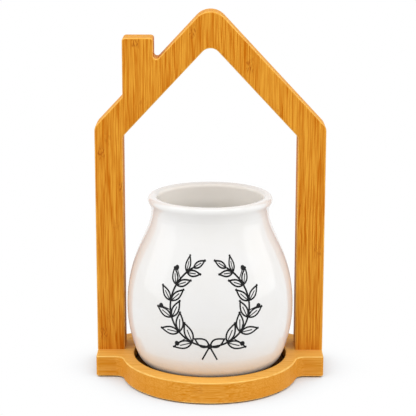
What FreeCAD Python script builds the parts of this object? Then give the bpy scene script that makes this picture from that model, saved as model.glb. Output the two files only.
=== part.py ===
import FreeCAD
import Part
import Sketcher
import math
import os
from FreeCAD import Vector

# Driving sizes in millimetres, angles in degrees.
# Places are measured from the middle of the recess, and the front is towards -Y.
# The origin is on the table, under the middle of the footprint.
sizes = {
    # crock, with the heights of belly and neck above its foot, the lip's height above the neck,
    # the inner edge of the foot ring inward from the outer one, and how far the crock stands
    # in front of the middle of its recess
    "belly_radius": 66.6,
    "belly_height": 50.4,
    "belly_curve_low": 100.0,
    "belly_curve_high": 152.0,
    "foot_curve": 20.0,
    "foot_ring_inner": 6.2,
    "foot_hollow": 1.5,
    "neck_radius": 46.9,
    "neck_height": 128.0,
    "neck_curve": 24.0,
    "lip_height": 9.4,
    "lip_round": 3.7,
    "crock_wall": 4.7,
    "crock_forward": 2.6,
    # base board, with its lobe measured outward from the edge of the recess
    "board_thick": 17.0,
    "board_round": 1.2,
    "lobe_radius": 9.15,
    "lobe_front": 13.65,
    "lobe_back": 32.15,
    "lobe_fillet": 8.0,
    "ear_front": 13.0,
    "ear_back": 45.0,
    "ear_corner": 2.0,
    "recess_inset": 4.75,
    "recess_depth": 9.0,
    "recess_round": 0.8,
    # house-shaped frame, with the eave above the board and the chimney above its foot on the roof
    "panel_thick": 24.0,
    "panel_round": 1.5,
    "post_clearance": 2.9,
    "post_width": 22.5,
    "eave_height": 184.9,
    "eave_round_out": 9.0,
    "eave_round_in": 6.0,
    "roof_pitch": 46.92,
    "roof_width": 21.8,
    "peak_round_out": 15.0,
    "peak_round_in": 8.5,
    "chimney_width": 24.6,
    "chimney_height": 20.3,
    "chimney_round": 2.5,
    "notch_fillet": 2.5,
    # screws that hold the posts from below
    "screw_length": 45.0,
    "screw_shank": 4.0,
    "screw_head": 8.0,
    "screw_head_rim": 0.4,
    "screw_sink": 0.4,
    "screw_tip": 5.0,
    "screw_gap": 0.15,
    "screw_spacing": 11.0,
    "driver_span": 4.6,
    "driver_slot": 1.2,
    "driver_depth": 1.8,
    "pilot_spare": 1.0,
    # pads under the board, placed inward from the edges of the lobe
    "pad_diameter": 14.0,
    "pad_thick": 2.0,
    "pad_proud": 1.0,
    "pad_round": 0.5,
    "pad_gap": 0.2,
    "pad_side": 33.0,
    "pad_front": 33.5,
    "pad_back": 34.0,
}

doc = FreeCAD.newDocument("utensil_crock")
sheet = doc.addObject("Spreadsheet::Sheet", "Sizes")
for row, (name, size) in enumerate(sizes.items(), start=1):
    sheet.set(f"A{row}", name)
    sheet.set(f"B{row}", str(size))
    sheet.setAlias(f"B{row}", name)
doc.recompute()

# Places that follow from the driving sizes
footprint_middle = "((Sizes.lobe_back - Sizes.lobe_front) / 2)"
opening_half = "(Sizes.belly_radius + Sizes.post_clearance)"
ear_reach = f"({opening_half} + Sizes.post_width)"
recess_radius = "(Sizes.belly_radius - Sizes.recess_inset)"
lobe_reach = f"({recess_radius} + Sizes.lobe_radius)"
lobe_front = f"({recess_radius} + Sizes.lobe_front)"
lobe_back = f"({recess_radius} + Sizes.lobe_back)"
board_top = "(Sizes.pad_proud + Sizes.board_thick)"
crock_foot = f"({board_top} - Sizes.recess_depth)"
shoulder_inset = "(Sizes.belly_radius - Sizes.neck_radius)"
belly_handle = f"sqrt(2 / 3 * {shoulder_inset} * Sizes.belly_curve_high)"
neck_handle = f"sqrt(2 / 3 * {shoulder_inset} * Sizes.neck_curve)"
panel_middle = "((Sizes.ear_back - Sizes.ear_front) / 2)"
post_middle = f"({opening_half} + Sizes.post_width / 2)"
roof_rise = "tan(Sizes.roof_pitch * 1 deg)"
peak_out = f"(Sizes.eave_height + {ear_reach} * {roof_rise})"
peak_in = f"({peak_out} - Sizes.roof_width / cos(Sizes.roof_pitch * 1 deg))"
eave_in = f"({peak_in} - {opening_half} * {roof_rise})"
chimney_inner = f"({opening_half} - Sizes.chimney_width)"
chimney_notch = f"({peak_out} - {chimney_inner} * {roof_rise})"
chimney_top = f"({chimney_notch} + Sizes.chimney_height)"
screw_hole = "(Sizes.screw_shank / 2 + Sizes.screw_gap)"
screw_start = "(Sizes.pad_proud + Sizes.screw_sink)"
head_radius = "(Sizes.screw_head / 2)"
countersink = f"({head_radius} + Sizes.screw_gap - {screw_hole} + Sizes.screw_sink + Sizes.screw_head_rim)"
pilot_depth = "(Sizes.screw_sink + Sizes.screw_length - Sizes.board_thick + Sizes.pilot_spare)"
pad_radius = "(Sizes.pad_diameter / 2)"
pad_pocket = "(Sizes.pad_thick - Sizes.pad_proud)"

touch = 0.001
bodies = []


def value(expression):
    return float(sheet.evalExpression(expression))


def new_body(label, x="0", y="0", z="0"):
    body = doc.addObject("PartDesign::Body", label)
    body.Label = label
    for axis, place in zip("xyz", (x, f"({y} - {footprint_middle})", z)):
        body.setExpression(f"Placement.Base.{axis}", f"{place} * 1 mm")
    bodies.append(body)
    return body


def sketch_on(body, role, name, lift=None):
    sketch = body.newObject("Sketcher::SketchObject", name)
    plane = next(feature for feature in body.Origin.OriginFeatures if feature.Role == role)
    sketch.AttachmentSupport = [(plane, "")]
    sketch.MapMode = "FlatFace"
    if lift:
        sketch.setExpression("AttachmentOffset.Base.z", f"{lift} * 1 mm")
    return sketch


def bound(sketch, expression, kind, *where):
    index = sketch.addConstraint(Sketcher.Constraint(kind, *where, value(expression)))
    sketch.setExpression(f"Constraints[{index}]", f"{expression} * 1 mm")


def pin(sketch, geometry, point, x, y):
    bound(sketch, x, "DistanceX", -1, 1, geometry, point)
    bound(sketch, y, "DistanceY", -1, 1, geometry, point)


def join(sketch, kind, *pairs):
    for pair in pairs:
        sketch.addConstraint(Sketcher.Constraint(kind, *pair))


def polygon(sketch, corners):
    points = [Vector(value(x), value(y), 0) for x, y in corners]
    for point, following in zip(points, points[1:] + points[:1]):
        sketch.addGeometry(Part.LineSegment(point, following), False)
    for index, (x, y) in enumerate(corners):
        join(sketch, "Coincident", ((index - 1) % len(corners), 2, index, 1))
        pin(sketch, index, 1, x, y)


def circle(sketch, x, y, radius):
    centre = Vector(value(x), value(y), 0)
    index = sketch.addGeometry(Part.Circle(centre, Vector(0, 0, 1), value(radius)), False)
    pin(sketch, index, 3, x, y)
    bound(sketch, radius, "Radius", index)


def pad(body, sketch, depth, name, middle=False):
    feature = body.newObject("PartDesign::Pad", name)
    feature.Profile = sketch
    feature.setExpression("Length", f"{depth} * 1 mm")
    if middle:
        feature.SideType = "Symmetric"
    doc.recompute()
    return feature


def pocket(body, sketch, depth, name, upward=False):
    before = body.Shape.Volume
    feature = body.newObject("PartDesign::Pocket", name)
    feature.Profile = sketch
    feature.Reversed = upward
    feature.setExpression("Length", f"{depth} * 1 mm")
    doc.recompute()
    if body.Shape.Volume > before - touch:
        raise RuntimeError(f"{body.Label}: {name} cuts nothing")
    return feature


def edges_where(feature, chosen):
    edges = enumerate(feature.Shape.Edges, start=1)
    return [f"Edge{index}" for index, edge in edges if chosen(edge)]


def dress(body, kind, feature, chosen, size, name):
    names = edges_where(feature, chosen)
    if not names:
        raise RuntimeError(f"{body.Label}: {name} finds no edge")
    dressed = body.newObject(f"PartDesign::{kind}", name)
    dressed.Base = (feature, names)
    dressed.setExpression("Size" if kind == "Chamfer" else "Radius", f"{size} * 1 mm")
    doc.recompute()
    return dressed


def near(first, second):
    return abs(first - second) < touch


def flat_at(edge, axis, places):
    box = edge.BoundBox
    low, high = (box.YMin, box.YMax) if axis == "y" else (box.ZMin, box.ZMax)
    return any(near(low, place) and near(high, place) for place in places)


def runs_along(edge, axis):
    if not isinstance(edge.Curve, Part.Line):
        return False
    return abs(edge.Curve.Direction.dot(axis)) > 1 - touch


# The crock: one turned and glazed ceramic wall, its inside following its outside
def crock():
    body = new_body("crock", y="-Sizes.crock_forward", z=crock_foot)
    sketch = sketch_on(body, "XZ_Plane", "crock_profile")
    size = {name: value(f"Sizes.{name}") for name in sizes}
    wall = size["crock_wall"]
    foot = size["foot_curve"]
    low = size["belly_curve_low"]
    lip = size["lip_round"]

    # Centres of the curves, in radius and height
    low_centre = Vector(size["belly_radius"] - low, size["belly_height"], 0)
    foot_drop = low_centre.y - foot
    foot_centre = Vector(low_centre.x + math.sqrt((low - foot) ** 2 - foot_drop ** 2), foot, 0)
    neck_at = Vector(size["neck_radius"], size["neck_height"], 0)
    lip_centre = neck_at + Vector(lip - wall, size["lip_height"], 0)
    inset = neck_at.x - lip_centre.x
    rise = lip_centre.y - neck_at.y
    throat = (inset ** 2 + rise ** 2 - lip ** 2) / (2 * (lip - inset))
    throat_centre = neck_at + Vector(throat, 0, 0)

    # Angles where one curve runs into the next
    foot_turn = math.atan2(foot_centre.y - low_centre.y, foot_centre.x - low_centre.x)
    lip_turn = math.atan2(lip_centre.y - throat_centre.y, lip_centre.x - throat_centre.x)

    def arc(centre, radius, start, end):
        whole = Part.Circle(centre, Vector(0, 0, 1), radius)
        return sketch.addGeometry(Part.ArcOfCircle(whole, start, end), False)

    def line(start, end):
        return sketch.addGeometry(Part.LineSegment(start, end), False)

    # One smooth curve from belly to neck, upright at both ends, with the named curvature at each end
    def shoulder(inward):
        belly_x = f"(Sizes.belly_radius - {inward})"
        neck_x = f"(Sizes.neck_radius - {inward})"
        poles = [
            (belly_x, "Sizes.belly_height"),
            (belly_x, f"(Sizes.belly_height + {belly_handle})"),
            (neck_x, f"(Sizes.neck_height - {neck_handle})"),
            (neck_x, "Sizes.neck_height"),
        ]
        curve = Part.BezierCurve()
        curve.setPoles([Vector(value(x), value(y), 0) for x, y in poles])
        index = sketch.addGeometry(curve.toBSpline(), False)
        first_pole = sketch.GeometryCount
        sketch.exposeInternalGeometry(index)
        for number, (x, y) in enumerate(poles):
            pin(sketch, first_pole + number, 3, x, y)
        return index

    turn = math.pi
    floor_at = Vector(foot_centre.x, wall, 0)
    ring_in = Vector(foot_centre.x - size["foot_ring_inner"], 0, 0)
    hollow_up = Vector(0, size["foot_hollow"], 0)

    # Outside, from the foot ring up to the lip
    ring = line(ring_in, Vector(foot_centre.x, 0, 0))
    foot_out = arc(foot_centre, foot, -turn / 2, foot_turn)
    low_out = arc(low_centre, low, foot_turn, 0)
    shoulder_out = shoulder("0")
    throat_out = arc(throat_centre, throat, lip_turn, turn)
    lip_over = arc(lip_centre, lip, lip_turn - turn, turn)

    # Inside, from the lip down to the floor, then back under the foot
    throat_in = line(lip_centre - Vector(lip, 0, 0), neck_at - Vector(wall, 0, 0))
    shoulder_in = shoulder("Sizes.crock_wall")
    low_in = arc(low_centre, low - wall, foot_turn, 0)
    foot_in = arc(foot_centre, foot - wall, -turn / 2, foot_turn)
    floor = line(floor_at, Vector(0, wall, 0))
    middle = line(Vector(0, wall, 0), hollow_up)
    hollow = line(hollow_up, ring_in + hollow_up)
    step = line(ring_in + hollow_up, ring_in)

    join(
        sketch, "Tangent",
        (ring, 2, foot_out, 1), (foot_out, 2, low_out, 1), (throat_out, 1, lip_over, 1),
        (lip_over, 2, throat_in, 1), (low_in, 1, foot_in, 2), (foot_in, 1, floor, 1),
    )
    join(
        sketch, "Coincident",
        (low_out, 2, shoulder_out, 1), (shoulder_out, 2, throat_out, 2), (throat_in, 2, shoulder_in, 2),
        (shoulder_in, 1, low_in, 2), (low_in, 3, low_out, 3), (foot_in, 3, foot_out, 3),
        (floor, 2, middle, 1), (middle, 2, hollow, 1), (hollow, 2, step, 1), (step, 2, ring, 1),
    )
    join(sketch, "Horizontal", (ring,), (floor,), (hollow,))
    join(sketch, "Vertical", (throat_in,), (step,))
    join(sketch, "PointOnObject", (ring, 1, -1), (floor, 2, -2), (hollow, 1, -2))
    bound(sketch, "Sizes.belly_height", "DistanceY", -1, 1, low_out, 3)
    bound(sketch, "Sizes.neck_height", "DistanceY", -1, 1, throat_out, 3)
    bound(sketch, "(Sizes.neck_height + Sizes.lip_height)", "DistanceY", -1, 1, lip_over, 3)
    bound(sketch, "Sizes.foot_ring_inner", "DistanceX", ring, 1, ring, 2)
    bound(sketch, "Sizes.foot_hollow", "DistanceY", -1, 1, hollow, 1)
    for curve, name in ((foot_out, "foot_curve"), (low_out, "belly_curve_low"), (lip_over, "lip_round")):
        bound(sketch, f"Sizes.{name}", "Radius", curve)
    doc.recompute()

    turned = body.newObject("PartDesign::Revolution", "crock_turned")
    turned.Profile = sketch
    turned.ReferenceAxis = (sketch, ["V_Axis"])
    doc.recompute()


# The base board: a lobe with a routed recess for the crock, and an ear under each post
def base_board():
    body = new_body("base_board", z="Sizes.pad_proud")
    up = Vector(0, 0, 1)
    reach = value(ear_reach)
    thick = value("Sizes.board_thick")

    lobe = sketch_on(body, "XY_Plane", "lobe_outline")
    radius = value(lobe_reach)
    front = Vector(0, radius - value(lobe_front), 0)
    back = Vector(0, value(lobe_back) - radius, 0)
    side = Vector(radius, 0, 0)
    lobe.addGeometry(Part.ArcOfCircle(Part.Circle(back, up, radius), 0, math.pi), False)
    lobe.addGeometry(Part.LineSegment(back - side, front - side), False)
    lobe.addGeometry(Part.ArcOfCircle(Part.Circle(front, up, radius), math.pi, 2 * math.pi), False)
    lobe.addGeometry(Part.LineSegment(front + side, back + side), False)
    join(lobe, "Tangent", (0, 2, 1, 1), (1, 2, 2, 1), (2, 2, 3, 1), (3, 2, 0, 1))
    pin(lobe, 0, 3, "0", f"({lobe_back} - {lobe_reach})")
    pin(lobe, 2, 3, "0", f"({lobe_reach} - {lobe_front})")
    bound(lobe, lobe_reach, "Radius", 0)
    pad(body, lobe, "Sizes.board_thick", "lobe_slab")

    ears = sketch_on(body, "XY_Plane", "ear_outline")
    sides = [f"(-{ear_reach})", ear_reach]
    ends = ["(-Sizes.ear_front)", "Sizes.ear_back"]
    polygon(ears, [(sides[0], ends[0]), (sides[1], ends[0]), (sides[1], ends[1]), (sides[0], ends[1])])
    slab = pad(body, ears, "Sizes.board_thick", "ear_slab")

    def upright(edge):
        return runs_along(edge, up)

    def outer_corner(edge):
        return upright(edge) and near(abs(edge.CenterOfMass.x), reach)

    def inner_corner(edge):
        return upright(edge) and abs(edge.CenterOfMass.x) < reach - touch

    slab = dress(body, "Fillet", slab, inner_corner, "Sizes.lobe_fillet", "lobe_fillets")
    slab = dress(body, "Fillet", slab, outer_corner, "Sizes.ear_corner", "ear_corners")

    def outline_edge(edge):
        return flat_at(edge, "z", (0, thick))

    slab = dress(body, "Fillet", slab, outline_edge, "Sizes.board_round", "board_edges")

    seat = sketch_on(body, "XY_Plane", "recess_outline", lift="Sizes.board_thick")
    circle(seat, "0", "0", recess_radius)
    slab = pocket(body, seat, "Sizes.recess_depth", "recess")
    recess_edge = value(recess_radius)

    def recess_rim(edge):
        round_edge = isinstance(edge.Curve, Part.Circle)
        return round_edge and near(edge.Curve.Radius, recess_edge) and flat_at(edge, "z", (thick,))

    dress(body, "Fillet", slab, recess_rim, "Sizes.recess_round", "recess_edge")

    holes = sketch_on(body, "XY_Plane", "screw_places")
    for x, y in screw_places():
        circle(holes, x, y, screw_hole)
    slab = pocket(body, holes, "Sizes.board_thick", "screw_holes", upward=True)

    def hole_mouth(edge):
        round_edge = isinstance(edge.Curve, Part.Circle)
        return round_edge and near(edge.Curve.Radius, value(screw_hole)) and flat_at(edge, "z", (0,))

    dress(body, "Chamfer", slab, hole_mouth, countersink, "countersinks")

    beds = sketch_on(body, "XY_Plane", "pad_places")
    for x, y in pad_places():
        circle(beds, x, y, f"({pad_radius} + Sizes.pad_gap)")
    pocket(body, beds, pad_pocket, "pad_beds", upward=True)


# The frame: two posts, two roof slopes and a chimney, sawn from one laminated panel
def house_frame():
    body = new_body("house_frame", y=panel_middle, z=board_top)
    outline = sketch_on(body, "XZ_Plane", "house_outline")
    left, left_in = f"(-{ear_reach})", f"(-{opening_half})"
    chimney_left, chimney_right = left_in, f"(-{chimney_inner})"

    corners = {
        "left_foot": (left, "0"),
        "left_foot_in": (left_in, "0"),
        "left_eave_in": (left_in, eave_in),
        "peak_in": ("0", peak_in),
        "right_eave_in": (opening_half, eave_in),
        "right_foot_in": (opening_half, "0"),
        "right_foot": (ear_reach, "0"),
        "right_eave": (ear_reach, "Sizes.eave_height"),
        "peak": ("0", peak_out),
        "chimney_notch": (chimney_right, chimney_notch),
        "chimney_top_right": (chimney_right, chimney_top),
        "chimney_top_left": (chimney_left, chimney_top),
        "chimney_foot": (chimney_left, f"({peak_out} - {opening_half} * {roof_rise})"),
        "left_eave": (left, "Sizes.eave_height"),
    }
    polygon(outline, list(corners.values()))
    panel = pad(body, outline, "Sizes.panel_thick", "panel", middle=True)

    rounded = {
        "peak_round_out": ("peak",),
        "peak_round_in": ("peak_in",),
        "eave_round_out": ("left_eave", "right_eave"),
        "eave_round_in": ("left_eave_in", "right_eave_in"),
        "chimney_round": ("chimney_top_left", "chimney_top_right"),
        "notch_fillet": ("chimney_notch", "chimney_foot"),
    }
    for name, places in rounded.items():
        spots = [(value(corners[place][0]), value(corners[place][1])) for place in places]

        def at_spot(edge):
            centre = edge.CenterOfMass
            along = runs_along(edge, Vector(0, 1, 0))
            return along and any(near(centre.x, x) and near(centre.z, z) for x, z in spots)

        panel = dress(body, "Fillet", panel, at_spot, f"Sizes.{name}", name)
    faces = (-value("Sizes.panel_thick") / 2, value("Sizes.panel_thick") / 2)

    def outline_edge(edge):
        return flat_at(edge, "y", faces) and not flat_at(edge, "z", (0,))

    dress(body, "Fillet", panel, outline_edge, "Sizes.panel_round", "panel_edges")

    pilots = sketch_on(body, "XY_Plane", "pilot_places")
    for x, y in screw_places():
        circle(pilots, x, f"({y} - {panel_middle})", screw_hole)
    pocket(body, pilots, pilot_depth, "pilot_holes", upward=True)


def screw_places():
    ends = [f"({panel_middle} - Sizes.screw_spacing / 2)", f"({panel_middle} + Sizes.screw_spacing / 2)"]
    return [(side, end) for side in (f"(-{post_middle})", post_middle) for end in ends]


def pad_places():
    side = f"({lobe_reach} - Sizes.pad_side)"
    ends = [f"(Sizes.pad_front - {lobe_front})", f"({lobe_back} - Sizes.pad_back)"]
    return [(x, y) for x in (f"(-{side})", side) for y in ends]


corner_names = ["left_front", "left_back", "right_front", "right_back"]


# A countersunk wood screw, driven up through an ear into the foot of a post
def post_screw(corner, x, y):
    body = new_body(f"post_screw_{corner}", x=x, y=y, z=screw_start)
    profile = sketch_on(body, "XZ_Plane", f"screw_profile_{corner}")
    shank = "(Sizes.screw_shank / 2)"
    neck = f"(Sizes.screw_head_rim + {head_radius} - {shank})"
    polygon(profile, [
        ("0", "0"),
        (head_radius, "0"),
        (head_radius, "Sizes.screw_head_rim"),
        (shank, neck),
        (shank, "(Sizes.screw_length - Sizes.screw_tip)"),
        ("0", "Sizes.screw_length"),
    ])
    turned = body.newObject("PartDesign::Revolution", f"screw_turned_{corner}")
    turned.Profile = profile
    turned.ReferenceAxis = (profile, ["V_Axis"])
    doc.recompute()

    cross = sketch_on(body, "XY_Plane", f"driver_cross_{corner}")
    far, slot = "(Sizes.driver_span / 2)", "(Sizes.driver_slot / 2)"
    quarter = [(far, f"(-{slot})"), (far, slot), (slot, slot)]
    arms = []
    for turn_count in range(4):
        for x_part, y_part in quarter:
            place = (x_part, y_part)
            for _ in range(turn_count):
                place = (f"(-{place[1]})", place[0])
            arms.append(place)
    polygon(cross, arms)
    pocket(body, cross, "Sizes.driver_depth", f"driver_recess_{corner}", upward=True)


# A round anti-slip pad, let into the underside and standing proud of it
def foot_pad(corner, x, y):
    body = new_body(f"foot_pad_{corner}", x=x, y=y)
    outline = sketch_on(body, "XY_Plane", f"pad_outline_{corner}")
    circle(outline, "0", "0", pad_radius)
    disc = pad(body, outline, "Sizes.pad_thick", f"pad_disc_{corner}")

    def lower_edge(edge):
        return flat_at(edge, "z", (0,))

    dress(body, "Fillet", disc, lower_edge, "Sizes.pad_round", f"pad_edge_{corner}")


crock()
base_board()
house_frame()
for corner, (x, y) in zip(corner_names, screw_places()):
    post_screw(corner, x, y)
for corner, (x, y) in zip(corner_names, pad_places()):
    foot_pad(corner, x, y)

doc.recompute()
for item in doc.Objects:
    if "Invalid" in item.State or "Error" in item.State:
        raise RuntimeError(f"{item.Label} failed: {item.State}")
for body in bodies:
    if body.Shape.isNull() or not body.Shape.isValid() or len(body.Shape.Solids) != 1:
        raise RuntimeError(f"{body.Label} is not one valid solid")

os.makedirs("parts", exist_ok=True)
for body in bodies:
    body.Shape.exportStep(f"parts/{body.Label}.step")
    box = body.Shape.BoundBox
    print(f"{body.Label}: {body.Shape.Volume / 1000:.1f} cm3, Z {box.ZMin:.2f} to {box.ZMax:.2f}")
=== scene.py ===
import math
import bmesh
import bpy
from mathutils import Matrix, Vector
from mathutils.bvhtree import BVHTree


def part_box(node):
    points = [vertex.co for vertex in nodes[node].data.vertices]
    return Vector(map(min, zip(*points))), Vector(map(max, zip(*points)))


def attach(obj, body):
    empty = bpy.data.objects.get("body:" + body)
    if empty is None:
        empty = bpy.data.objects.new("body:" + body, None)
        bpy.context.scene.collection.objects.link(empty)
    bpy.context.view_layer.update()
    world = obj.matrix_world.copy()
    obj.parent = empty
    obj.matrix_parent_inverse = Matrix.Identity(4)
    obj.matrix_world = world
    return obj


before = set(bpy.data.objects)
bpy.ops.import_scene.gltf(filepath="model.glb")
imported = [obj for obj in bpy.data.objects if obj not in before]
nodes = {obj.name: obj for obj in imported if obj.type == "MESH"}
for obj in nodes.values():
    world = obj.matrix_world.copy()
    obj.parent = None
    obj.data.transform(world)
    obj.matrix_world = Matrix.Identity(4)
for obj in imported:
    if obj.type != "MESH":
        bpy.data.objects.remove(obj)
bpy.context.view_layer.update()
mm = 0.001
print("frame loaded:", len(nodes), "nodes")


# Helpers for shader nodes
def feed(tree, socket, value):
    if isinstance(value, bpy.types.NodeSocket):
        tree.links.new(value, socket)
    else:
        socket.default_value = value


def addNode(tree, kind, sockets=None, **settings):
    node = tree.nodes.new(kind)
    for name, setting in settings.items():
        setattr(node, name, setting)
    for name, value in (sockets or {}).items():
        feed(tree, node.inputs[name], value)
    return node


def maths(tree, operation, *values):
    return addNode(tree, "ShaderNodeMath", dict(enumerate(values)), operation=operation).outputs[0]


def vectors(tree, operation, *values):
    node = addNode(tree, "ShaderNodeVectorMath", dict(enumerate(values)), operation=operation)
    return node.outputs["Value" if operation in ("LENGTH", "DOT_PRODUCT") else "Vector"]


def axes(tree, vector):
    return addNode(tree, "ShaderNodeSeparateXYZ", {"Vector": vector}).outputs


def ease(tree, value, low, high, start=0.0, end=1.0):
    # Runs smoothly from start to end while the value goes from low to high
    sockets = {"Value": value, "From Min": low, "From Max": high, "To Min": start, "To Max": end}
    node = addNode(tree, "ShaderNodeMapRange", sockets, interpolation_type="SMOOTHSTEP")
    return node.outputs["Result"]


def between(tree, share, start, end):
    return maths(tree, "MULTIPLY_ADD", share, end - start, start)


def weighed(tree, parts):
    # Adds up the parts, each measured from its own middle and times its own weight
    total = 0.0
    for value, middle, weight in parts:
        total = maths(tree, "MULTIPLY_ADD", maths(tree, "SUBTRACT", value, middle), weight, total)
    return total


def mixColour(tree, share, first, second):
    # Inputs 6 and 7 and output 2 of this node are the colours
    return addNode(tree, "ShaderNodeMix", {0: share, 6: first, 7: second}, data_type="RGBA").outputs[2]


def mixShaders(tree, share, first, second):
    return addNode(tree, "ShaderNodeMixShader", {0: share, 1: first, 2: second}).outputs[0]


def noise(tree, place, cell, detail=2.0):
    # cell is the size of one patch of the noise along X, Y and Z
    sockets = {"Vector": vectors(tree, "DIVIDE", place, cell), "Scale": 1.0, "Detail": detail}
    return addNode(tree, "ShaderNodeTexNoise", sockets).outputs["Fac"]


def newMaterial(name):
    material = bpy.data.materials.new(name)
    material.use_nodes = True
    tree = material.node_tree
    place = addNode(tree, "ShaderNodeTexCoord").outputs["Object"]
    return material, tree, tree.nodes["Principled BSDF"], place


def bumpInto(tree, shader, height, strength, distance):
    sockets = {"Height": height, "Strength": strength, "Distance": distance}
    bump = addNode(tree, "ShaderNodeBump", sockets)
    tree.links.new(bump.outputs["Normal"], shader.inputs["Normal"])


# Helpers for objects
def dressNode(name, material):
    mesh = nodes[name].data
    mesh.materials.clear()
    mesh.materials.append(material)


def addObject(name, data):
    added = bpy.data.objects.new(name, data)
    bpy.context.scene.collection.objects.link(added)
    return added


def meshObject(name, bm, material):
    mesh = bpy.data.meshes.new(name)
    bm.to_mesh(mesh)
    bm.free()
    mesh.materials.append(material)
    return addObject(name, mesh)


# Laminated bamboo: glued strips across X, plies through Y, fibres and growth nodes along Z
bambooFibres = {
    # patches of noise, across the strip, through the ply and along the fibres
    "waveCell": (14 * mm, 14 * mm, 32 * mm),
    "streakCell": (3.6 * mm, 3.6 * mm, 160 * mm),
    "threadCell": (1.0 * mm, 1.0 * mm, 42 * mm),
    "lineCell": (2.6 * mm, 2.6 * mm, 140 * mm),
    "hairCell": (0.7 * mm, 0.7 * mm, 14 * mm),
    "speckCell": (0.9 * mm, 0.9 * mm, 3.4 * mm),
    "dotCell": (0.9 * mm, 0.9 * mm, 6 * mm),
    # levels of that noise at which a mark begins to show and shows in full
    "threadLevels": (0.3, 0.7),
    "speckLevels": (0.46, 0.62),
    "dotLevels": (0.35, 0.65),
    "lineWidth": 0.045,  # measured from the middle level
    # how far each kind of mark moves the tone from dark to pale
    "toneWeight": 0.22,
    "streakWeight": 0.45,
    "threadWeight": 0.8,
    "lineWeight": -0.55,
    "hairWeight": 1.0,
    # the same on faces that are cut across the fibres
    "dotWeight": 0.45,
    "endToneWeight": 0.3,
    "seamWeight": -0.22,
    "seamWidth": 0.09,  # share of a strip or ply
    # growth nodes, and the sway of the fibres away from them and at them
    "knotCore": 2 * mm,
    "knotReach": 7.5 * mm,
    "knotVigour": (0.1, 0.8),  # draws at which a strip's node begins to show and shows in full
    "knotDepth": 0.8,
    "waveReach": 0.9 * mm,
    "knotWaveReach": 3.0 * mm,
    "stripShift": 1.7,  # the most that a strip's fibres slide along, in metres
    # finish: roughness between the threads and on them, and the relief
    "rough": (0.62, 0.46),
    "hairRelief": 0.5,
    "knotRelief": -0.6,
    "reliefDepth": 0.15 * mm,
}


def groupSockets(group, inputs, outputs):
    for direction, sockets in (("INPUT", inputs), ("OUTPUT", outputs)):
        for name, kind in sockets.items():
            group.interface.new_socket(name, in_out=direction, socket_type="NodeSocket" + kind)
    return group.nodes.new("NodeGroupInput").outputs, group.nodes.new("NodeGroupOutput").inputs


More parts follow.
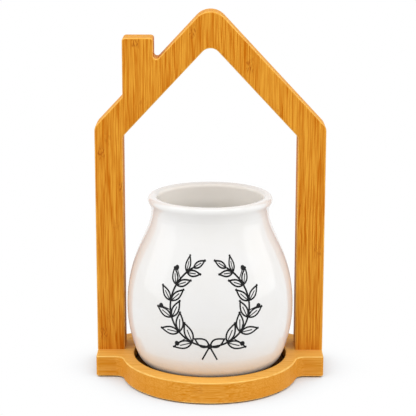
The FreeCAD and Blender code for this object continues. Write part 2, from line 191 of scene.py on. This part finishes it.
def bambooGroup(fibres):
    group = bpy.data.node_groups.new("bambooGrain", "ShaderNodeTree")
    inputs = {"Vector": "Vector", "Dark": "Color", "Pale": "Color", "Knot": "Color"}
    for name in ("Strip Width", "Ply Depth", "Node Spacing", "Contrast", "End Grain", "Painted Light"):
        inputs[name] = "Float"
    outputs = {"Color": "Color", "Roughness": "Float", "Height": "Float"}
    given, made = groupSockets(group, inputs, outputs)

    # Each strip of each ply draws its own tone, and slides its fibres along by its own length
    across, through, along = axes(group, given["Vector"])
    acrossStrips = maths(group, "DIVIDE", across, given["Strip Width"])
    throughPlies = maths(group, "DIVIDE", through, given["Ply Depth"])
    strip = maths(group, "FLOOR", acrossStrips)
    ply = maths(group, "FLOOR", throughPlies)
    cell = addNode(group, "ShaderNodeCombineXYZ", {"X": strip, "Y": ply}).outputs[0]
    chance = addNode(group, "ShaderNodeTexWhiteNoise", {"Vector": cell}).outputs
    drawn = addNode(group, "ShaderNodeSeparateColor", {"Color": chance["Color"]}).outputs
    shifted = maths(group, "MULTIPLY_ADD", chance["Value"], fibres["stripShift"], along)

    # Growth nodes: a short band on each strip, at its own height
    turns = maths(group, "FRACT", maths(group, "DIVIDE", shifted, given["Node Spacing"]))
    fromMiddle = maths(group, "ABSOLUTE", maths(group, "SUBTRACT", turns, 0.5))
    fromNode = maths(group, "MULTIPLY", fromMiddle, given["Node Spacing"])
    band = ease(group, fromNode, fibres["knotCore"], fibres["knotReach"], 1.0, 0.0)

    # Fibres waver along their length, and more so round a growth node
    reach = between(group, band, fibres["waveReach"], fibres["knotWaveReach"])
    sway = maths(group, "SUBTRACT", noise(group, given["Vector"], fibres["waveCell"]), 0.5)
    wavy = maths(group, "MULTIPLY_ADD", sway, reach, across)
    local = addNode(group, "ShaderNodeCombineXYZ", {"X": wavy, "Y": through, "Z": shifted}).outputs[0]
    streaks = noise(group, local, fibres["streakCell"])
    threads = ease(group, noise(group, local, fibres["threadCell"], detail=1.0), *fibres["threadLevels"])
    contour = maths(group, "SUBTRACT", noise(group, local, fibres["lineCell"], detail=1.0), 0.5)
    lines = ease(group, maths(group, "ABSOLUTE", contour), 0.0, fibres["lineWidth"], 1.0, 0.0)
    hairs = noise(group, local, fibres["hairCell"], detail=1.0)
    tone = weighed(group, ((drawn["Green"], 0.5, fibres["toneWeight"]),
                           (streaks, 0.5, fibres["streakWeight"]),
                           (threads, 0.5, fibres["threadWeight"]),
                           (lines, 0.25, fibres["lineWeight"]),
                           (hairs, 0.5, fibres["hairWeight"])))

    # Where the fibres are cut across, their ends show as dots, strip by strip, between thin glue seams
    dots = ease(group, noise(group, given["Vector"], fibres["dotCell"], detail=1.0), *fibres["dotLevels"])
    fromSeam = maths(group, "MINIMUM", maths(group, "PINGPONG", acrossStrips, 0.5),
                     maths(group, "PINGPONG", throughPlies, 0.5))
    seams = ease(group, fromSeam, 0.0, fibres["seamWidth"], 1.0, 0.0)
    endTone = weighed(group, ((dots, 0.5, fibres["dotWeight"]),
                              (drawn["Green"], 0.5, fibres["endToneWeight"]),
                              (seams, 0.0, fibres["seamWeight"])))
    toEnds = maths(group, "SUBTRACT", endTone, tone)
    tone = maths(group, "MULTIPLY_ADD", toEnds, given["End Grain"], tone)
    # The painted light and shade of the face raises or lowers the tone
    shade = maths(group, "MULTIPLY_ADD", tone, given["Contrast"], given["Painted Light"])
    colour = mixColour(group, shade, given["Dark"], given["Pale"])

    # The band of a growth node is broken into short dark specks, and shows on uncut faces only
    specks = ease(group, noise(group, local, fibres["speckCell"], detail=1.0), *fibres["speckLevels"])
    vigour = ease(group, drawn["Blue"], *fibres["knotVigour"])
    knots = maths(group, "MULTIPLY", maths(group, "MULTIPLY", band, vigour), specks)
    knots = maths(group, "MULTIPLY", knots, maths(group, "SUBTRACT", 1.0, given["End Grain"]))
    darkness = maths(group, "MULTIPLY", knots, fibres["knotDepth"])
    darkness = maths(group, "MULTIPLY", darkness, given["Contrast"])
    group.links.new(mixColour(group, darkness, colour, given["Knot"]), made["Color"])

    group.links.new(between(group, threads, *fibres["rough"]), made["Roughness"])
    relief = maths(group, "MULTIPLY_ADD", hairs, fibres["hairRelief"], threads)
    relief = maths(group, "MULTIPLY_ADD", knots, fibres["knotRelief"], relief)
    group.links.new(relief, made["Height"])
    return group


bambooGrain = bambooGroup(bambooFibres)

# Faces of a bamboo piece, told apart by how squarely they face along the fibres or through the plies
bambooFaces = {
    "cutAcross": (0.25, 0.65),
    "plyFace": (0.5, 0.95),
    "arrisFromEdge": (0.1, 0.4),
    "arrisToPly": (0.75, 0.97),
}


def recessShadeMask(tree, place, values):
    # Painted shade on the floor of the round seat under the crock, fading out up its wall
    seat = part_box("crock")[0][2]
    flat = vectors(tree, "MULTIPLY", vectors(tree, "SUBTRACT", place, values["recessMiddle"]), (1, 1, 0))
    radius = vectors(tree, "LENGTH", flat)
    height = maths(tree, "SUBTRACT", axes(tree, place)["Z"], seat)
    within = ease(tree, radius, *values["recessEdge"], 1.0, 0.0)
    underTop = ease(tree, height, *values["shadeTop"], 1.0, 0.0)
    overBottom = ease(tree, height, *values["shadeBottom"])
    floor = maths(tree, "MULTIPLY", within, maths(tree, "MULTIPLY", underTop, overBottom))
    # Round rings, a tool step apart, in the painted shade, and grain that shows faintly through it
    marks = maths(tree, "PINGPONG", radius, values["toolStep"] / 2)
    paintedShade = ease(tree, marks, 0.0, values["toolStep"] / 2, values["shadeWeak"], values["shadeStrong"])
    return floor, maths(tree, "MULTIPLY", floor, paintedShade)


def bambooMaterial(name, values):
    material, tree, shader, place = newMaterial(name)
    turned = addNode(tree, "ShaderNodeMapping", {"Vector": place, "Rotation": values["turn"],
                                                 "Location": values["shift"]}).outputs[0]
    normal = addNode(tree, "ShaderNodeMapping", {"Vector": place.node.outputs["Normal"],
                                                 "Rotation": values["turn"]}).outputs[0]
    facing = axes(tree, normal)
    alongFibres = maths(tree, "ABSOLUTE", facing["Z"])
    throughPlies = maths(tree, "ABSOLUTE", facing["Y"])
    # Painted light and shade: each face is made paler or darker by which way it faces
    cut = ease(tree, alongFibres, *bambooFaces["cutAcross"])
    lift = ease(tree, throughPlies, *bambooFaces["plyFace"], values["edgeTone"], values["faceTone"])
    lift = maths(tree, "MULTIPLY_ADD", cut, values["cutTone"] - values["edgeTone"], lift)
    sockets = {"Vector": turned, "End Grain": cut, "Painted Light": lift}
    for socket in ("Dark", "Pale", "Knot", "Strip Width", "Ply Depth", "Node Spacing", "Contrast"):
        sockets[socket] = values[socket]
    grain = addNode(tree, "ShaderNodeGroup", sockets, node_tree=bambooGrain).outputs

    # Rounded arrises, where the surface turns from a ply face to an edge, get a paler painted highlight
    fromEdge = ease(tree, throughPlies, *bambooFaces["arrisFromEdge"])
    toPly = ease(tree, throughPlies, *bambooFaces["arrisToPly"], 1.0, 0.0)
    paintedHighlight = maths(tree, "MULTIPLY", maths(tree, "MULTIPLY", fromEdge, toPly),
                 noise(tree, place, values["highlightCell"], detail=3.0))
    paintedHighlight = maths(tree, "MULTIPLY", paintedHighlight, values["highlightStrength"])
    colour = mixColour(tree, paintedHighlight, grain["Color"], values["arris"])
    rough = grain["Roughness"]
    if "routed" in values:  # the base board alone has a recess
        floor, paintedShade = recessShadeMask(tree, place, values)
        # Painted shade: the floor of the recess is darkened to a near-black brown
        colour = mixColour(tree, paintedShade, colour, values["routed"])
        rough = maths(tree, "MULTIPLY_ADD", floor, values["routedRough"], rough)
    tree.links.new(colour, shader.inputs["Base Color"])
    tree.links.new(rough, shader.inputs["Roughness"])
    shader.inputs["Specular IOR Level"].default_value = values["lacquer"]
    bumpInto(tree, shader, grain["Height"], values["bump"], bambooFibres["reliefDepth"])
    return material


# House frame: upright grain through posts, slopes and chimney, as sawn from one panel
frameBamboo = {
    "Dark": (0.54, 0.15, 0.002, 1),
    "Pale": (0.78, 0.35, 0.035, 1),
    "Knot": (0.38, 0.085, 0.002, 1),
    "Strip Width": 5.6 * mm,
    "Ply Depth": 8.0 * mm,
    "Node Spacing": 150 * mm,
    "Contrast": 1.0,
    # tone of the edges, the ply faces and the cut ends, from dark at 0 to pale at 1: painted light and
    # shade, paler where a face is lit and darker where it lies in shade
    "edgeTone": 0.15,
    "faceTone": 0.5,
    "cutTone": 1.0,
    "turn": (0, 0, 0),
    "shift": (0, -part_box("house_frame")[0][1], 0),
    "bump": 0.25,
    "lacquer": 0.06,
    # painted highlight along the rounded arrises: its strength, patch size and colour
    "highlightStrength": 1.0,
    "highlightCell": (4 * mm, 4 * mm, 9 * mm),
    "arris": (0.95, 0.60, 0.16, 1),
}
dressNode("house_frame", bambooMaterial("bambooFrame", frameBamboo))

# Base board: grain from side to side, so the ends of the fibres show on the ears and round the lobe
baseBamboo = {
    "Dark": (0.62, 0.215, 0.001, 1),
    "Pale": (0.90, 0.485, 0.10, 1),
    "Knot": (0.44, 0.12, 0.004, 1),
    "Strip Width": 6.4 * mm,
    "Ply Depth": 8.5 * mm,
    "Node Spacing": 190 * mm,
    "Contrast": 0.42,
    # tone of the edges, the ply faces and the cut ends, from dark at 0 to pale at 1: painted light and
    # shade, paler where a face is lit and darker where it lies in shade
    "edgeTone": 0.3,
    "faceTone": 0.76,
    "cutTone": 0.3,
    "turn": (math.radians(-90), math.radians(-90), 0),
    "shift": (0, -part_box("base_board")[0][2], 0),
    "bump": 0.2,
    "lacquer": 0.1,
    # painted highlight along the rounded arrises: its strength, patch size and colour
    "highlightStrength": 1.2,
    "highlightCell": (9 * mm, 4 * mm, 4 * mm),
    "arris": (0.98, 0.66, 0.20, 1),
    # painted shade on the floor of the recess, with heights measured from the foot of the crock
    "routed": (0.045, 0.012, 0.001, 1),
    "routedRough": 0.35,
    "recessMiddle": (0, -9.25 * mm, 0),
    "recessEdge": (62.25 * mm, 62.75 * mm),
    "shadeTop": (0.5 * mm, 3.0 * mm),
    "shadeBottom": (-3.0 * mm, -1.0 * mm),
    "toolStep": 3.2 * mm,
    "shadeWeak": 0.90,
    "shadeStrong": 0.95,
}
dressNode("base_board", bambooMaterial("bambooBase", baseBamboo))
print("bamboo: frame and base board dressed")

# Crock: glossy white glaze, bare bisque on the foot ring
crockGlaze = {
    "white": (0.80, 0.795, 0.785, 1),
    "warmWhite": (0.79, 0.78, 0.76, 1),
    "linerCreamAndLight": (0.985, 0.962, 0.915, 1),
    "bisque": (0.62, 0.50, 0.38, 1),
    "driftCell": (38 * mm, 38 * mm, 30 * mm),
    "driftLevels": (0.35, 0.65),
    "waveCell": (24 * mm, 24 * mm, 17 * mm),
    "pitCell": (0.9 * mm, 0.9 * mm, 0.9 * mm),
    "pitShare": 0.01,  # depth of a pit in that of a wave
    "waveBump": 0.12,
    "waveDepth": 1.0 * mm,
    "rough": (0.06, 0.11),
    "gloss": 0.65,
    # creamier liner, also paler as painted light in the shaded inside: below the rim, on what faces the
    # axis
    "linerDrop": 2.5 * mm,
    "lipDrop": 0.5 * mm,
    "linerFacing": (-0.5, 0.1),
    # bare foot ring: up to these heights above its lowest point
    "bareHeight": 0.5 * mm,
    "bareFade": 1.1 * mm,
    "bareRough": 0.6,
}


def glazeMaterial(values):
    material, tree, shader, place = newMaterial("whiteGlaze")
    drift = noise(tree, place, values["driftCell"], detail=3.0)
    warmth = ease(tree, drift, *values["driftLevels"])
    colour = mixColour(tree, warmth, values["white"], values["warmWhite"])

    # Inside the crock the surface faces its own axis, and the liner glaze is creamier, and paler as
    # painted light where the inside lies in shade
    low, high = (Vector(corner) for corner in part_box("crock"))
    flat = vectors(tree, "MULTIPLY", vectors(tree, "SUBTRACT", place, (low + high) / 2), (1, 1, 0))
    outward = vectors(tree, "NORMALIZE", flat)
    facing = vectors(tree, "DOT_PRODUCT", outward, place.node.outputs["Normal"])
    height = axes(tree, place)["Z"]
    underRim = ease(tree, height, high.z - values["linerDrop"], high.z - values["lipDrop"], 1.0, 0.0)
    litLiner = maths(tree, "MULTIPLY", ease(tree, facing, *values["linerFacing"], 1.0, 0.0), underRim)
    colour = mixColour(tree, litLiner, colour, values["linerCreamAndLight"])

    bare = ease(tree, height, low.z + values["bareHeight"], low.z + values["bareFade"], 1.0, 0.0)
    tree.links.new(mixColour(tree, bare, colour, values["bisque"]), shader.inputs["Base Color"])
    rough = between(tree, drift, *values["rough"])
    rough = maths(tree, "MULTIPLY_ADD", bare, values["bareRough"], rough)
    tree.links.new(rough, shader.inputs["Roughness"])
    shader.inputs["Specular IOR Level"].default_value = values["gloss"]
    waves = noise(tree, place, values["waveCell"], detail=1.0)
    pits = noise(tree, place, values["pitCell"], detail=0.0)
    relief = maths(tree, "MULTIPLY_ADD", pits, values["pitShare"], waves)
    bumpInto(tree, shader, relief, values["waveBump"], values["waveDepth"])
    return material


dressNode("crock", glazeMaterial(crockGlaze))
print("crock: glazed")

# Screws: zinc plate with a fine brushed grain
screwZinc = {
    "bright": (0.66, 0.65, 0.62, 1),
    "dull": (0.46, 0.45, 0.42, 1),
    "patchCell": (2.2 * mm, 2.2 * mm, 2.2 * mm),
    "rough": (0.2, 0.5),
    "brushCell": (3.0 * mm, 0.12 * mm, 3.0 * mm),
    "brushBump": 0.15,
    "brushDepth": 0.05 * mm,
}


def zincMaterial(values):
    material, tree, shader, place = newMaterial("zincPlate")
    patches = noise(tree, place, values["patchCell"], detail=3.0)
    colour = mixColour(tree, patches, values["dull"], values["bright"])
    tree.links.new(colour, shader.inputs["Base Color"])
    tree.links.new(between(tree, patches, *values["rough"]), shader.inputs["Roughness"])
    shader.inputs["Metallic"].default_value = 1.0
    brushed = noise(tree, place, values["brushCell"])
    bumpInto(tree, shader, brushed, values["brushBump"], values["brushDepth"])
    return material


# Pads: dark rubber with a fine moulded grain and a little dust
padRubber = {
    "dark": (0.018, 0.017, 0.016, 1),
    "dusty": (0.06, 0.056, 0.05, 1),
    "dustCell": (2.5 * mm, 2.5 * mm, 2.5 * mm),
    "dustLevels": (0.45, 0.75),
    "rough": (0.7, 0.85),
    "grainCell": (0.4 * mm, 0.4 * mm, 0.4 * mm),
    "grainBump": 0.4,
    "grainDepth": 0.1 * mm,
}


def rubberMaterial(values):
    material, tree, shader, place = newMaterial("padRubber")
    dust = ease(tree, noise(tree, place, values["dustCell"], detail=4.0), *values["dustLevels"])
    tree.links.new(mixColour(tree, dust, values["dark"], values["dusty"]), shader.inputs["Base Color"])
    tree.links.new(between(tree, dust, *values["rough"]), shader.inputs["Roughness"])
    grain = noise(tree, place, values["grainCell"])
    bumpInto(tree, shader, grain, values["grainBump"], values["grainDepth"])
    return material


zincPlate = zincMaterial(screwZinc)
rubber = rubberMaterial(padRubber)
for name in nodes:
    if name.startswith("post_screw"):
        dressNode(name, zincPlate)
    if name.startswith("foot_pad"):
        dressNode(name, rubber)
print("screws and pads dressed")

# Print on the crock: a black line wreath of two leafy sprigs, drawn flat and then laid on the belly
wreath = {
    "middleHeight": 77 * mm,
    "ringRadius": 32 * mm,
    # stem, with angles in degrees round the ring and bare lengths in spacings of the leaf pairs
    "stemStart": -86,
    "stemEnd": 62,
    "stemWidth": 1.5 * mm,
    "bareStem": 0.9,
    "bareTip": 0.5,
    # leaves, in pairs along the stem, with their turn from it in degrees
    "leafPairs": 6,
    "leafLength": 18.5 * mm,
    "tipLeafLength": 13 * mm,
    "leafSlimness": 0.42,
    "leafTaper": 0.8,  # under 1, a leaf is widest nearer its stalk
    "leafTurn": 43,
    "outlineWidth": 1.3 * mm,
    "veinWidth": 0.8 * mm,
    "veinReach": 0.62,
    # berries, one before every second pair
    "berryRadius": 2.0 * mm,
    "berryStalk": 9 * mm,
    "berryTurn": 21.5,
    "berryBack": 0.5,  # in shares of the stem for one pair
    # bow at the foot of the ring
    "bowLength": 14 * mm,
    "bowWidth": 8 * mm,
    "bowTurn": 28,
    "tailTurn": -62,
    "tailLength": 13 * mm,
    "knotRadius": 2.2 * mm,
    # fineness of the mesh
    "leafSides": 36,
    "dotSides": 16,
    "stepLength": 1.0 * mm,
    # ink, a little sunk in the glaze
    "sink": 0.03 * mm,
    "thick": 0.12 * mm,
    "ink": (0.005, 0.005, 0.0055, 1),
    "fadedInk": (0.014, 0.0135, 0.013, 1),
    "fadeCell": (1.6 * mm, 1.6 * mm, 1.6 * mm),
    "fadeLevels": (0.45, 0.8),
    "rough": (0.4, 0.55),
    "gloss": 0.2,
}


def placed(bm, first, place, turn):
    # Turns and moves every vertex drawn since the bmesh had this many
    bm.verts.ensure_lookup_table()
    matrix = Matrix.Translation(place) @ Matrix.Rotation(turn, 4, "Z")
    bmesh.ops.transform(bm, matrix=matrix, verts=bm.verts[first:])


def drawStrip(bm, length, width, place, turn):
    first = len(bm.verts)
    steps = max(1, round(length / wreath["stepLength"]))
    strip = bmesh.ops.create_grid(bm, x_segments=steps, y_segments=1, size=0.5)["verts"]
    bmesh.ops.scale(bm, vec=(length, width, 1), verts=strip)
    bmesh.ops.translate(bm, vec=(length / 2, 0, 0), verts=strip)
    placed(bm, first, place, turn)


def drawLeaf(bm, length, width, place, turn, veinReach):
    first = len(bm.verts)
    sides = bmesh.ops.create_circle(bm, cap_ends=True, segments=wreath["leafSides"], radius=0.5)["verts"]
    blade = sides[0].link_faces[0]
    for vert in sides:
        share = vert.co.x + 0.5
        half = width / 2 * math.sin(math.pi * share ** wreath["leafTaper"])
        vert.co = (share * length, math.copysign(half, vert.co.y), 0)
    blade.normal_update()
    bmesh.ops.inset_region(bm, faces=[blade], thickness=wreath["outlineWidth"], use_boundary=True,
                           use_even_offset=True)
    bmesh.ops.delete(bm, geom=[blade], context="FACES_ONLY")
    placed(bm, first, place, turn)
    if veinReach:
        drawStrip(bm, length * veinReach, wreath["veinWidth"], place, turn)


def drawDot(bm, radius, place):
    first = len(bm.verts)
    bmesh.ops.create_circle(bm, cap_ends=True, cap_tris=True, segments=wreath["dotSides"], radius=radius)
    placed(bm, first, place, 0)


def onRing(share, reach=0.0):
    # A place along the stem, from its foot at 0 to its tip at 1, and the way that the stem heads there
    angle = math.radians(wreath["stemStart"] + (wreath["stemEnd"] - wreath["stemStart"]) * share)
    outward = Vector((math.cos(angle), math.sin(angle), 0))
    return outward * (wreath["ringRadius"] + reach), angle + math.pi / 2


def drawStem(bm):
    sweep = math.radians(wreath["stemEnd"] - wreath["stemStart"])
    ends = [bm.verts.new(onRing(0, side * wreath["stemWidth"] / 2)[0]) for side in (-1, 1)]
    foot = bm.edges.new(ends)
    steps = round(wreath["ringRadius"] * sweep / wreath["stepLength"])
    bmesh.ops.spin(bm, geom=ends + [foot], cent=(0, 0, 0), axis=(0, 0, 1), angle=sweep, steps=steps)


def drawBerry(bm, share):
    place, heading = onRing(share)
    lean = heading - math.pi / 2 + math.radians(wreath["berryTurn"])
    drawStrip(bm, wreath["berryStalk"], wreath["veinWidth"], place, lean)
    stalk = Vector((math.cos(lean), math.sin(lean), 0)) * wreath["berryStalk"]
    drawDot(bm, wreath["berryRadius"], place + stalk)


def drawLeaves(bm):
    pairs = wreath["leafPairs"]
    spacings = wreath["bareStem"] + pairs - 1 + wreath["bareTip"]
    turn = math.radians(wreath["leafTurn"])
    slimness = wreath["leafSlimness"]
    tipLength = wreath["tipLeafLength"]
    for pair in range(pairs):
        share = (wreath["bareStem"] + pair) / spacings
        length = wreath["leafLength"] + (tipLength - wreath["leafLength"]) * share
        place, heading = onRing(share)
        for side in (-1, 1):
            drawLeaf(bm, length, length * slimness, place, heading + side * turn, wreath["veinReach"])
        if pair % 2:
            drawBerry(bm, share - wreath["berryBack"] / pairs)
    place, heading = onRing(1)
    drawLeaf(bm, tipLength, tipLength * slimness, place, heading, wreath["veinReach"])


def drawBow(bm):
    # One loop and one tail, which the mirror then doubles
    foot = Vector((0, -wreath["ringRadius"], 0))
    drawLeaf(bm, wreath["bowLength"], wreath["bowWidth"], foot, math.radians(wreath["bowTurn"]), 0)
    drawStrip(bm, wreath["tailLength"], wreath["outlineWidth"], foot, math.radians(wreath["tailTurn"]))


def crockSkin():
    low, high = (Vector(corner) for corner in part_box("crock"))
    belly = (high.x - low.x) / 2
    axis = (low + high) / 2
    skin = BVHTree.FromObject(nodes["crock"], bpy.context.evaluated_depsgraph_get(), epsilon=0.001 * mm)
    nearest = belly / 2  # a hit nearer than this to the start of its ray is a stray
    leastOutward = 0.2  # and so is a hit on a face that hardly faces outwards
    nudge = 0.01 * mm

    def onCrock(around, height, lift):
        angle = around / belly
        outward = Vector((math.sin(angle), -math.cos(angle), 0))
        start = Vector((axis.x, axis.y, height)) + outward * 2 * belly
        hit = None
        while hit is None or (start - hit).length < nearest or normal.dot(outward) < leastOutward:
            # After a miss or a stray, the ray is cast again a hair higher
            hit, normal = skin.ray_cast(start, -outward)[:2]
            start.z += nudge
        return hit + normal * lift

    return onCrock


def inkMaterial(values):
    material, tree, shader, place = newMaterial("printInk")
    faded = ease(tree, noise(tree, place, values["fadeCell"], detail=4.0), *values["fadeLevels"])
    tree.links.new(mixColour(tree, faded, values["ink"], values["fadedInk"]), shader.inputs["Base Color"])
    tree.links.new(between(tree, faded, *values["rough"]), shader.inputs["Roughness"])
    shader.inputs["Specular IOR Level"].default_value = values["gloss"]
    return material


def printWreath():
    bm = bmesh.new()
    drawStem(bm)
    drawLeaves(bm)
    drawBow(bm)
    bmesh.ops.mirror(bm, geom=bm.verts[:] + bm.edges[:] + bm.faces[:], merge_dist=-1, axis="X")
    drawDot(bm, wreath["knotRadius"], (0, -wreath["ringRadius"], 0))
    bm.normal_update()
    bmesh.ops.reverse_faces(bm, faces=[face for face in bm.faces if face.normal.z < 0])
    onCrock = crockSkin()
    for vert in bm.verts:
        vert.co = onCrock(vert.co.x, wreath["middleHeight"] + vert.co.y, -wreath["sink"])
    bm.normal_update()
    bmesh.ops.solidify(bm, geom=bm.faces[:], thickness=-wreath["thick"])
    piece = meshObject("wreath_print", bm, inkMaterial(wreath))
    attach(piece, "crock")
    return piece


wreathPrint = printWreath()
print("wreath printed:", len(wreathPrint.data.polygons), "faces")

# Floor and backdrop: one pale sheet that keeps the shadow near the base and runs out to white
floorSheet = {
    "reach": 12.0,  # metres
    "paint": (0.72, 0.79, 0.86, 1),  # as seen in the shadow, cool against warm light from the bamboo
    "bounce": (0.92, 0.92, 0.92, 1),  # as it lights the object
    "white": (1, 1, 1, 1),
    "shadowReach": 50 * mm,
    "shadowLevels": (0.25, 1.0),  # openness at which the shadow begins to lift and is gone
}


def whiteRays(tree):
    # The rays that meet a white background: the camera's own, and those mirrored or let through
    path = addNode(tree, "ShaderNodeLightPath").outputs
    seen = maths(tree, "MAXIMUM", path["Is Camera Ray"], path["Is Glossy Ray"])
    return maths(tree, "MAXIMUM", seen, path["Is Transmission Ray"])


def floorMaterial(values):
    material, tree, shader = newMaterial("floorWhite")[:3]
    tree.nodes.remove(shader)
    seen = whiteRays(tree)
    shown = mixColour(tree, seen, values["bounce"], values["paint"])
    paint = addNode(tree, "ShaderNodeBsdfDiffuse", {"Color": shown}).outputs[0]
    white = addNode(tree, "ShaderNodeEmission", {"Color": values["white"], "Strength": 1.0}).outputs[0]
    around = addNode(tree, "ShaderNodeAmbientOcclusion", {"Distance": values["shadowReach"]})
    openness = ease(tree, around.outputs["AO"], *values["shadowLevels"])
    glow = maths(tree, "MULTIPLY", openness, seen)
    # Seen from below, the sheet is clear
    clear = addNode(tree, "ShaderNodeBsdfTransparent").outputs[0]
    below = addNode(tree, "ShaderNodeNewGeometry").outputs["Backfacing"]
    sheet = mixShaders(tree, below, mixShaders(tree, glow, paint, white), clear)
    tree.links.new(sheet, tree.nodes["Material Output"].inputs["Surface"])
    return material


def layFloor(values):
    bm = bmesh.new()
    bmesh.ops.create_grid(bm, x_segments=1, y_segments=1, size=values["reach"])
    floor = meshObject("floor", bm, floorMaterial(values))


layFloor(floorSheet)

# Studio: an even pale room, a soft light high in front, a window-like box and a low wash on each side
studio = {
    "white": (1, 1, 1, 1),
    "roomLevel": 0.588,  # lights the object
    "backdropLevel": 1.0,  # is seen, and mirrored in the glaze
    # places and sizes in metres
    "aim": (0, 0, 0.11),
    "lamps": {
        "frontHigh": {"place": (0, -0.95, 1.45), "size": (1.3, 0.9), "watts": 6.2},
        "leftBox": {"place": (-0.90, -0.35, 1.25), "size": (1.07, 0.8), "watts": 5.25},
        "rightBox": {"place": (0.82, -0.51, 1.26), "size": (0.59, 0.8), "watts": 4.0},
        "leftWash": {"place": (-1.6, -0.1, 0.6), "size": (1.2, 1.3), "watts": 3.65},
        "rightWash": {"place": (1.6, -0.1, 0.6), "size": (1.2, 1.3), "watts": 5.25},
    },
}


def hangLamp(name, values, aim):
    lamp = bpy.data.lights.new(name, "AREA")
    lamp.shape = "RECTANGLE"
    lamp.size, lamp.size_y = values["size"]
    lamp.energy = values["watts"]
    place = Vector(values["place"])
    turn = (Vector(aim) - place).to_track_quat("-Z", "Y")
    addObject(name, lamp).matrix_world = Matrix.Translation(place) @ turn.to_matrix().to_4x4()


def lightRoom(values):
    world = bpy.data.worlds.new("paleRoom")
    bpy.context.scene.world = world
    world.use_nodes = True
    tree = world.node_tree
    tree.nodes.remove(tree.nodes["Background"])
    white = values["white"]
    room = addNode(tree, "ShaderNodeBackground", {"Color": white, "Strength": values["roomLevel"]})
    backdrop = addNode(tree, "ShaderNodeBackground", {"Color": white, "Strength": values["backdropLevel"]})
    surface = mixShaders(tree, whiteRays(tree), room.outputs[0], backdrop.outputs[0])
    tree.links.new(surface, tree.nodes["World Output"].inputs["Surface"])


for name, lamp in studio["lamps"].items():
    hangLamp(name, lamp, studio["aim"])
lightRoom(studio)
print("floor laid, lights hung")

# Camera: in front and a little higher than the roof, looking slightly down
viewpoint = {
    "place": (3.6 * mm, -1170.2 * mm, 417.2 * mm),
    # turns in degrees
    "pitchDown": 13.51,
    "pan": -0.264,
    "roll": 0.086,
    # lens and sensor in millimetres, as Blender takes them
    "lens": 129.41,
    "sensor": 36.0,
}


def setCamera(values):
    camera = bpy.data.cameras.new("viewpoint")
    camera.lens = values["lens"]
    camera.sensor_width = values["sensor"]
    pan = Matrix.Rotation(math.radians(-values["pan"]), 4, "Z")
    pitch = Matrix.Rotation(math.radians(90 - values["pitchDown"]), 4, "X")
    roll = Matrix.Rotation(math.radians(values["roll"]), 4, "Z")
    holder = addObject("viewpoint", camera)
    holder.matrix_world = Matrix.Translation(values["place"]) @ pan @ pitch @ roll
    bpy.context.scene.camera = holder


setCamera(viewpoint)
bpy.context.scene.view_settings.view_transform = "Standard"
print("camera set")
